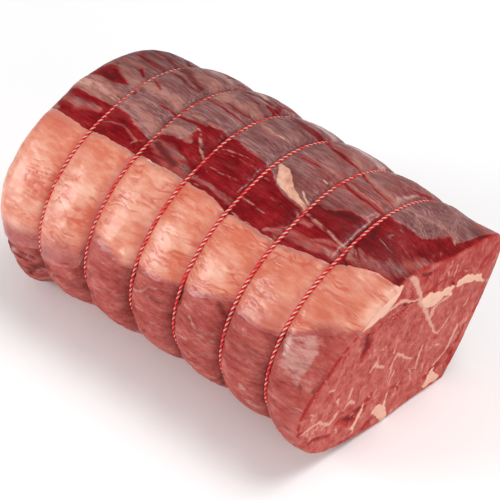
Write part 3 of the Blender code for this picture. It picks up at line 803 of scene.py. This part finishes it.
# %% Lean beef material
def muscle_red(f):
    """The red of the lean, streaked along the joint."""
    fibre, cloud = f.noise((14, 0.9, 0.9), 4.0, 0.6), f.noise((12, 6, 6), 3.0)
    return f.ramp(fibre * 0.4 + cloud * 0.6, *MUSCLE), fibre, cloud


def lean_finish():
    """Red muscle, then each tissue, the painted shade and the painted sheen laid over it where its
    share is high.
    """
    f = Finish("lean_beef", Coat_Roughness=0.18, Specular_IOR_Level=0.07)
    silver, peach, fat, blood, deep, crease, pale, haze, cut = (f.share(name) for name in (
        "silver", "peach", "fat", "blood", "deep", "crease", "pale", "haze", "cut"))
    red, fibre, cloud = muscle_red(f)
    fine, sheen_noise = f.noise((5, 0.9, 0.9), 2.0), f.noise((5, 1.4, 1.4), 4.0, 0.65)
    grain, mottled = f.noise((2.4, 1.3, 2.8), 3.0, 0.55, 0.5), f.noise((4, 4, 5), 4.0, 0.6, 0.4)
    wet = f.ramp(fibre * 0.5 + cloud * 0.5, *WET_MUSCLE)
    sliced = f.ramp(grain * 0.3 + mottled * 0.7, *SLICED)
    veil = f.ramp(fibre * 0.6 + cloud * 0.4, *SILVER)
    film = f.ramp(fine * 0.5 + cloud * 0.5, *PEACH_FILM)
    tissue = f.mix(cut, f.ramp(fine, *TISSUE), TISSUE_CUT)
    lard = f.ramp(f.noise(2.6, 4.0) * 0.6 + cloud * 0.4, *LARD)
    base = f.layered(f.mix(cut, red, sliced), [
        (f.mix(cut, wet, WET_CUT), blood + (cloud - 0.5) * 0.3, 0.2, 0.8, 1 - cut * 0.2),
        (veil, silver + (fine - 0.5) * 0.9 + (cloud - 0.5) * 0.5, 0.2, 0.8, 0.95),
        (film, peach + (fine - 0.5) * 0.7 + (cloud - 0.5) * 0.4, 0.2, 1.0, 0.85),
        # Dark tissue, and painted shade on the crown.
        (f.mix(cut, DARK_AND_SHADE, DARK_CUT), deep + (fine - 0.5) * 0.4, 0.0, 1.0, 0.85),
        (tissue, pale + (fine - 0.5) * 0.5, 0.1, 0.9, 0.7),
        # Pale membrane and painted sheen.
        (MEMBRANE_AND_SHEEN, haze + (sheen_noise - 0.5) * 1.2, 0.2, 1.1, 0.65),
        (f.mix(cut * 0.8, lard, LARD_CUT), fat + (fine - 0.5) * 0.5, 0.35, 0.7, 1.0)])
    # Painted shade: dark in creases and beside the strings.
    base = f.mix(crease * 0.8, base, CREASE_SHADE)
    rough = 0.5 - blood * 0.1 + (fine - 0.5) * 0.2
    moist = f.noise((6, 2.5, 2.5), 3.0).between(0.52, 0.72)
    shine = moist * (0.6 - blood * 0.35) + haze * 0.5 + pale * 0.2
    relief = f.bump(grain, 0.35, 0.3, f.bump(fibre, 0.3, 0.5))
    return f.finish(Base_Color=base, Roughness=rough, Coat_Weight=shine, Normal=relief)


lean = lean_finish()

# %% [markdown]
# ## The lean, in three lengths
# One fine mesh of the whole joint would be too heavy, so it is made in three lengths that meet
# under the second and the fifth string, where the groove hides the seams. Rows run along the
# joint. At its two ends they go on round the rim and in to the middle of the end face. Columns are
# close together where detail matters, and wider at the back and underneath.

# %% Columns round the joint
turns = spaced((40, 124, 154, 214, 330, 400), (0.52, 0.9, 0.55, 1.7, 1.1))[:-1]
print(len(turns), "columns")


def end_rows(station_rim, rim, direction, rings):
    """(station, inset, share towards the middle) of the rows of a rim and an end face."""
    bend = np.linspace(0, np.pi / 2, max(4, int(rim * 1.9)))[1:]
    rows = [(station_rim + direction * rim * np.sin(b), rim * (1 - np.cos(b)), 0.0) for b in bend]
    return rows + [(station_rim + direction * rim, rim, q) for q in rings]


def end_face(points, inward, on_face, cut):
    """The outline drawn in to the middle, its unevenness, and the shares of its tissues."""
    outline = points[np.nonzero(inward[:, 0] == 0)[0][-1]]
    face_x = CUT_END + CUT_LEAN * (SPINE - CUT_PIVOT) if cut else FAR_END
    drawn_in = outline + (np.array([face_x, 0.0, SPINE]) - outline) * inward[..., None]
    points = np.where(inward[..., None] > 0, drawn_in, points)
    y, z = points[..., 1] * (1 if cut else -1), points[..., 2]
    tissue = cut_tissues(y, z)
    height = 0.7 * fractal(np.stack([y / 14, z / 14, y * 0], -1), 37) + 0.3 * tissue.pop("grain")
    height = height + 0.5 * tissue["fat"] + 0.25 * tissue["pale"] - 0.5 * tissue["blood"]
    height = height * on_face * ease(0.0, 0.03, inward)
    points[..., 0] += height if cut else -height - 1.2 * ease(0, 1, inward)
    return points, tissue


def lean_length(name, side_rows, rim_rows=(), cut=False):
    """A length of the lean: its side and, if it has one, its rim and its end face."""
    rows = [(x, 0.0, 0.0) for x in side_rows] + list(rim_rows)
    (x, inset, inward) = (np.array(column)[:, None] + 0 * turns for column in zip(*rows))
    angle = turns + 0 * x
    side = skin_tissues(x, angle)
    relief = skin_relief(x, angle, side) * ease(16, 0, inset)
    points = skin(x, angle, out=relief * (inward == 0), inset=inset)
    on_face = ease(CUT_END - 1.4, CUT_END - 0.2, x) if cut else ease(9, 14, inset)
    shares = {key: side[key] * (1 - on_face) for key in side} | {"cut": on_face}
    if rim_rows:
        points, tissue = end_face(points, inward, on_face, cut)
        for key, share in tissue.items():
            shares[key] = shares[key] + share * on_face
    poles = np.stack([points[0].mean(axis=0), points[-1].mean(axis=0)])
    shares = {key: np.concatenate([v.ravel(), v[0, :1], v[-1, :1]]) for key, v in shares.items()}
    faces = tube_faces(*x.shape)
    if side_rows[-1] > side_rows[0]:
        faces = [face[::-1] for face in faces]
    return add_mesh(name, np.concatenate([points.reshape(-1, 3), poles]), faces, shares, lean,
                    "beef", 55)


lean_near = lean_length(
    "lean_near", spaced((strings[4], CUT_END - CUT_RIM), (0.5,)),
    end_rows(CUT_END - CUT_RIM, CUT_RIM, 1, np.linspace(0, 1, 104)[1:-1]), cut=True)
lean_middle = lean_length("lean_middle", spaced((strings[1], strings[4]), (0.5,)))
lean_far = lean_length(
    "lean_far", spaced((FAR_END + FAR_RIM, strings[1]), (0.5,))[::-1],
    end_rows(FAR_END + FAR_RIM, FAR_RIM, -1, np.linspace(0, 1, 50)[1:-1]))

# %% [markdown]
# ## Fat cover
# Raw fat is firm, a warm peach with redder veins, and shiny where it is moist. Tied down, it
# wrinkles along the joint beside each string. It is a closed sheet, laid over the lean, that
# thins to almost nothing at its edges and turns red at its foot.

# %% Fat material
RAW_FAT = (0.38, (0.60, 0.15, 0.085)), (0.5, (0.68, 0.25, 0.16)), (0.68, (0.78, 0.41, 0.30))
# The blush colour is redder fat, and it also paints shade beside the strings.
WRINKLE, BLUSH_AND_SHADE, BROW = (0.54, 0.09, 0.05), (0.46, 0.085, 0.06), (0.40, 0.17, 0.14)


def fat_finish():
    """Peach fat with a painted highlight, then red wrinkles and veins, redness with painted shade
    by the strings, the lean that shows at its foot, and a grey brow.
    """
    f = Finish("beef_fat", Coat_Weight=0.55, Coat_Roughness=0.26, Specular_IOR_Level=0.25)
    cloud, streak = f.noise((15, 8, 8), 3.0, 0.5), f.noise((9, 2.4, 2.4), 3.0, 0.5)
    fine = f.noise((2.2, 0.8, 0.8), 3.0)
    blush, pale, wrinkle, foot, brow = (
        f.share(name) for name in ("blush", "pale", "wrinkle", "foot", "brow"))
    # Paler where the pale share is high, and that share includes a painted highlight.
    base = f.ramp(cloud * 0.55 + streak * 0.3 + fine * 0.15 + (pale - 0.3) * 0.24, *RAW_FAT)
    base = f.layered(f.mix(wrinkle * 0.9, base, WRINKLE), [
        (BLUSH_AND_SHADE, blush + (fine - 0.5) * 0.5, 0.1, 1.0, 0.75),
        (muscle_red(f)[0], foot + (fine - 0.5) * 0.3, 0.1, 0.85, 1.0),
        (BROW, brow + (fine - 0.5) * 0.4, 0.1, 1.0, 0.7)])
    relief = f.bump(fine, 0.2, 0.5, f.bump(streak, 0.35, 0.4))
    return f.finish(Base_Color=base, Roughness=0.42 + (fine - 0.5) * 0.3, Normal=relief)


fat_material = fat_finish()


# %% Shape and tissues of the fat
NUB_STATION, NUB_ANGLE = -17, 161.5
FOOT_STATIONS = (-80, -50, -42, -36, -14, -10, 14, 18, 40, 44, 68, 72)
FOOT_HEIGHTS = (17, 21, 14, 5, 5, 3, 3, 5, 4, 3, 3, 5)  # how far up the foot is red


def wrinkles(x, angle):
    """Thin lines along the joint, where noise of long narrow cells passes through zero."""
    slant = angle + 2.5 * round_noise(x, angle, 10, 8, 44)
    lines = ease(0.2, 0.02, np.abs(round_noise(x, slant, 11, 2.4, 42, 3)))
    near_twine = 0.5 * decay(string_distance(x), 6)
    return lines * np.clip(ease(-0.25, 0.35, round_noise(x, angle, 13, 10, 45)) + near_twine, 0, 1)


def fat_relief(x, angle, wrinkle):
    """Millimetres out: soft lumps, fine unevenness, a nub at the foot, and sunk wrinkles."""
    lumps = 0.7 * round_noise(x, angle, 13, 10, 41)
    nub = 1.3 * bell(x - NUB_STATION, 3.2) * bell(angle - NUB_ANGLE, 4.5)
    return lumps + 0.25 * round_noise(x, angle, 6, 2.4, 43, 4) + nub - 0.25 * wrinkle


def fat_shares(x, t, top, foot):
    """Shares of redness with painted shade by the strings, pale fat with a painted highlight, the
    thin red foot and the grey brow.
    """
    uneven = 0.7 + 0.6 * round_noise(x, t, 8, 4, 47)
    # Painted shade on the side of each bulge before the next string, and redder fat with painted
    # shade close to the twine. The other terms are redder fat.
    blush = strongest(
        decay(next_string(x), 3.2) * ease(122, 150, t),
        0.95 * decay(string_distance(x), 2.6),
        0.6 * ease(-70, -85, x) * ease(136, 124, t),
        0.5 * within(x, 40, 50, 86, 92) * uneven,
        0.9 * within(x, 41, 46, 66, 70) * ease(132, 142, t) * uneven)
    nub = bell(x - NUB_STATION, 3.4) * bell(t - NUB_ANGLE, 4.5)
    # The first term is a painted highlight in the middle of each bulge. The other terms make the
    # fat paler in places, and the nub and the edge by the cut are cream.
    pale = strongest(
        0.6 * bell(between(x)[1] - 0.55, 0.3) * bell(t - 148, 14),
        0.35 * ease(-38, -46, x) * within(t, 152, 162, 176, 186),
        0.7 * within(x, -70, -66, -48, -44) * within(t, 134, 141, 150, 158),
        0.7 * ease(-70, -76, x) * within(t, 106, 112, 119, 126),
        0.6 * within(x, -42, -34, -18, -10) * ease(144, 136, t),
        nub, ease(87, 92, x) * ease(136, 128, t))
    reach = np.interp(x, FOOT_STATIONS, FOOT_HEIGHTS)
    red = strongest(ease(reach, 0, foot - t), 0.8 * ease(74, 84, x) * ease(132, 144, t))
    brow = ease(4.0, 0.3, t - top) * ease(84, 74, x) * (0.7 + 0.6 * round_noise(x, t, 9, 4, 46))
    return dict(blush=blush, pale=pale, foot=red * (1 - nub), brow=brow)


# %% Fat cover
def fat_cover(columns=124):
    """A sheet from its foot to its top edge, thinning at its edges, and closed by its inside."""
    far, near = FAR_END + FAR_RIM, CUT_END - CUT_RIM
    rows = [(s, i) for s, i, _ in end_rows(far, FAR_RIM, -1, [])[::-1]]
    rows += [(s, 0.0) for s in spaced((far, near), (0.55,))]
    rows += [(s, i) for s, i, _ in end_rows(near, CUT_RIM, 1, [])]
    x, inset = (np.array(column)[:, None] for column in zip(*rows))
    there = np.linspace(0, 1, columns)
    share = np.concatenate([there, np.linspace(1, 0, columns)[1:-1]])[None, :]
    outer = (np.arange(share.shape[1]) < columns)[None, :]
    top, foot = edge_at(FAT_TOP, x), edge_at(FAT_FOOT, x)
    angle = foot + (top - foot) * share
    x, inset, share = (values + 0 * angle for values in (x, inset, share))
    inner = ease(0, 5, np.minimum(share, 1 - share) * np.abs(foot - top))
    wrinkle = wrinkles(x, angle)
    lift = 0.12 + (0.4 + 0.4 * share) * inner + fat_relief(x, angle, wrinkle) * inner
    lean_below = skin_relief(x, angle, skin_tissues(x, angle))
    out = lift * (1 - 0.7 * bell(string_distance(x), 1.8)) + lean_below * (1 - inner)
    out = np.where(outer, out, out * (1 - inner) - 0.45 - 1.2 * inner)
    out = out * ease(16, 0, inset) + 0.25 * outer * ease(0, 6, inset)
    points = skin(x, angle, out=out, inset=inset)
    shares = fat_shares(x, angle, top, foot) | {"wrinkle": wrinkle}
    return add_mesh("fat_sheet", points.reshape(-1, 3), [f[::-1] for f in sheet_faces(*x.shape)],
                    shares, fat_material, "fat_cover", 70)


fat_sheet = fat_cover()

# %% [markdown]
# ## Twine
# Butcher's twine is several thin plies twisted together, here four red and two white. Its
# section is six touching circles, and it turns as it is carried along the loop. The loop lies in
# its groove, and its knot sits low on the back.

# %% Twine material
RED_PLY = (0.3, (0.52, 0.006, 0.010)), (0.7, (0.78, 0.018, 0.022))
WHITE_PLY = (0.3, (0.66, 0.38, 0.31)), (0.7, (0.86, 0.66, 0.56))


def twine_finish():
    """Red and white plies, fuzzy, with the white stained red in patches."""
    f = Finish("twine", Specular_IOR_Level=0.2)
    fuzz = f.noise(0.35, 3.0)
    red = f.ramp(fuzz, *RED_PLY)
    base = f.layered(red, [(f.ramp(fuzz, *WHITE_PLY), f.share("ply"), 0.4, 0.6, 1.0),
                           (red, f.noise(7.0, 2.0), 0.5, 0.62, 0.8)])
    return f.finish(Base_Color=base, Roughness=0.7 + (fuzz - 0.5) * 0.2,
                    Normal=f.bump(fuzz, 0.12, 0.6))


twine_material = twine_finish()

# %% Twine along a path
TWINE_RADIUS, PLY_PITCH, PLIES = 0.78, 5.2, 6
PLY_RADIUS, PLY_DISTANCE = 0.42 * TWINE_RADIUS, 0.58 * TWINE_RADIUS
WHITE_WIDTH = 0.42  # half the width of the white on a white ply, as a share of its turn


def twine_surface(path, closed):
    """Points and ply shares of a twisted section carried along a path of points.

    Plies of radius r stand at distance d from the middle, so at an angle b from the middle of
    the nearest ply the outline is d cos b + sqrt(r^2 - d^2 sin^2 b)."""
    step = np.roll(path, -1, axis=0) - path
    if closed:
        along = np.roll(path, -1, axis=0) - np.roll(path, 1, axis=0)
    else:
        step[-1], along = step[-2], np.gradient(path, axis=0)
    along /= np.linalg.norm(along, axis=1, keepdims=True)
    aside = np.cross(along, (1.0, 0.0, 0.0) if closed else (0.31, 0.2, 0.93))
    aside /= np.linalg.norm(aside, axis=1, keepdims=True)
    across = np.cross(along, aside)
    lengths = np.linalg.norm(step, axis=1)
    run = np.cumsum(lengths) - lengths
    pitch = lengths.sum() / max(round(lengths.sum() / PLY_PITCH), 1)
    ply_turn = 2 * np.pi / PLIES
    b = np.linspace(0, 2 * np.pi, 5 * PLIES, endpoint=False)[None, :]
    off = np.mod(b + ply_turn / 2, ply_turn) - ply_turn / 2
    r = PLY_DISTANCE * np.cos(off) + np.sqrt(PLY_RADIUS**2 - (PLY_DISTANCE * np.sin(off)) ** 2)
    r = r + 0 * run[:, None]
    white = np.floor((b + ply_turn / 2) / ply_turn) % 3 == 0
    ply = white * (np.abs(off) < WHITE_WIDTH * ply_turn) + 0 * run[:, None]
    turn = b + 2 * np.pi * run[:, None] / pitch
    if not closed:
        r = r * np.clip(np.minimum(run, run[-1] - run)[:, None] * 2 + 0.3, 0, 1)
    points = path[:, None] + r[..., None] * (
        np.cos(turn)[..., None] * aside[:, None] + np.sin(turn)[..., None] * across[:, None])
    return points, ply


def ring_faces(rows, columns, closed):
    """Quads of a tube, joined end to end if closed, or with a pole at each end if not."""
    if not closed:
        return tube_faces(rows, columns)
    i, j = np.meshgrid(np.arange(rows), np.arange(columns), indexing="ij")
    m, k = (i + 1) % rows, (j + 1) % columns
    return np.stack([i * columns + j, m * columns + j, m * columns + k, i * columns + k],
                    -1).reshape(-1, 4).tolist()


# %% Loops and knots
LOOP_STEPS, WANDER = 1040, 0.25


def loop_point(station, angle):
    """The twine's centre line: the groove's curve, moved out along its normal, more on the fat."""
    def groove(a):
        return np.stack(section(np.full(a.shape, station), a, 0.0, GROOVE_FLOOR), -1)
    tangent = groove(angle + 0.5) - groove(angle - 0.5)
    tangent /= np.linalg.norm(tangent, axis=1, keepdims=True)
    lift = (0.15 + 1.1 * within(angle, 105, 128, 180, 200))[:, None]
    yz = groove(angle) + lift * np.stack([tangent[:, 1], -tangent[:, 0]], -1)
    return np.column_stack([np.full(angle.shape, station), yz])


def knot_paths(station, angle):
    """A knot as a trefoil pulled long, and two short ends that spread below it."""
    here = loop_point(station, np.array([angle]))[0]
    a = math.radians(angle)
    aside = np.array([1.0, 0, 0])
    out, along = np.array([0, math.cos(a), math.sin(a)]), np.array([0, -math.sin(a), math.cos(a)])
    middle = here + out * 1.7
    t = np.linspace(0, 2 * np.pi, 120, endpoint=False)[:, None]
    knot = middle + (np.sin(t) + 2 * np.sin(2 * t)) * aside * 0.55
    knot = knot + (np.cos(t) - 2 * np.cos(2 * t)) * along * 0.85 - np.sin(3 * t) * out * 0.9
    s = np.linspace(0, 1, 26)[:, None]
    ends = [middle + out * 3.6 * s**1.3 - along * 8.6 * s + aside * side * 2.0 * s
            for side in (-1, 1)]
    return knot, ends


def make_string(number):
    """A loop, a knot and two ends, joined as one mesh."""
    station = strings[number - 1]
    angle = np.linspace(0, 360, LOOP_STEPS, endpoint=False)
    sways = WANDER * np.sin(np.arange(13) * 2.4 + number)  # one for every 30 degrees
    loop = loop_point(station, angle)
    loop[:, 0] += np.interp(angle, np.arange(0, 361, 30), sways, period=360)
    knot, ends = knot_paths(station, -14 + 3 * ((number % 3) - 1))
    points, faces, plies, count = [], [], [], 0
    for path, closed in ((loop, True), (knot, True), (ends[0], False), (ends[1], False)):
        grid, ply = twine_surface(path, closed)
        flat, shares = grid.reshape(-1, 3), ply.ravel()
        if not closed:
            flat = np.concatenate([flat, path[:1], path[-1:]])
            shares = np.concatenate([shares, [0, 1]])
        faces += [[i + count for i in face] for face in ring_faces(*ply.shape, closed)]
        points.append(flat)
        plies.append(shares)
        count += len(flat)
    shares = {"ply": np.concatenate(plies)}
    return add_mesh(f"twine_{number}", np.concatenate(points), faces, shares, twine_material,
                    f"string_{number}", 80)


twines = [make_string(number) for number in range(1, 7)]

# %% [markdown]
# ## Floor, light and camera
# A plain pale floor, a big soft light low on the left of the camera for the sheen on the fat, one
# overhead, a weaker one in front of the cut, and a pale sky that fills the shadows.

# %% Stage
FLOOR_HALF, MID_HEIGHT = 4, 0.045  # metres
floor_mesh = bpy.data.meshes.new("floor")
corners = [(x * FLOOR_HALF, y * FLOOR_HALF, 0) for x, y in ((-1, -1), (1, -1), (1, 1), (-1, 1))]
floor_mesh.from_pydata(corners, [], [(0, 1, 2, 3)])
floor = bpy.data.objects.new("floor", floor_mesh)
bpy.context.scene.collection.objects.link(floor)
floor_finish = Finish("floor", Roughness=0.9)
floor_mesh.materials.append(floor_finish.finish(
    Base_Color=floor_finish.ramp(floor_finish.noise(400.0), (0, (0.95,) * 3), (1, (0.97,) * 3))))

world = bpy.data.worlds.new("sky")
world.use_nodes = True
sky = world.node_tree.nodes["Background"].inputs
sky["Color"].default_value, sky["Strength"].default_value = (1, 1, 1, 1), 0.4
bpy.context.scene.world = world


def soft_light(name, direction, distance, size, power):
    """A square area light that faces the joint."""
    light = bpy.data.lights.new(name, "AREA")
    light.size, light.energy = size, power
    lamp = bpy.data.objects.new(name, light)
    away = Vector(direction).normalized()
    lamp.location = away * distance + Vector((0, 0, MID_HEIGHT))
    lamp.rotation_euler = away.to_track_quat("Z", "Y").to_euler()
    bpy.context.scene.collection.objects.link(lamp)


soft_light("key", (-0.62, -0.8, 0.34), 1.3, 0.7, 10)
soft_light("overhead", (0.28, 0.3, 0.85), 1.4, 0.8, 12)
soft_light("fill", (1.0, -0.35, 0.35), 1.5, 0.9, 6)

# %% Camera
SIDEWAYS, DOWN, REACH = 0.87 * MM, 1.88 * MM, 0.8
azimuth, elevation = math.radians(43.83), math.radians(39)
level = math.cos(elevation)
back = Vector((math.cos(azimuth) * level, -math.sin(azimuth) * level, math.sin(elevation)))
right = Vector((math.sin(azimuth), math.cos(azimuth), 0))
up = back.cross(right)
camera = bpy.data.objects.new("camera", bpy.data.cameras.new("camera"))
camera.data.lens, camera.data.sensor_width = 125.6, 36
target = Vector((0, 0, MID_HEIGHT)) + Vector(PLACE) * MM - right * SIDEWAYS - up * DOWN
facing = Matrix((right, up, back)).transposed().to_4x4()
camera.matrix_world = Matrix.Translation(target + back * REACH) @ facing
camera.data.clip_start = 0.05
bpy.context.scene.collection.objects.link(camera)
bpy.context.scene.camera = camera
bpy.context.scene.view_settings.view_transform = "Standard"
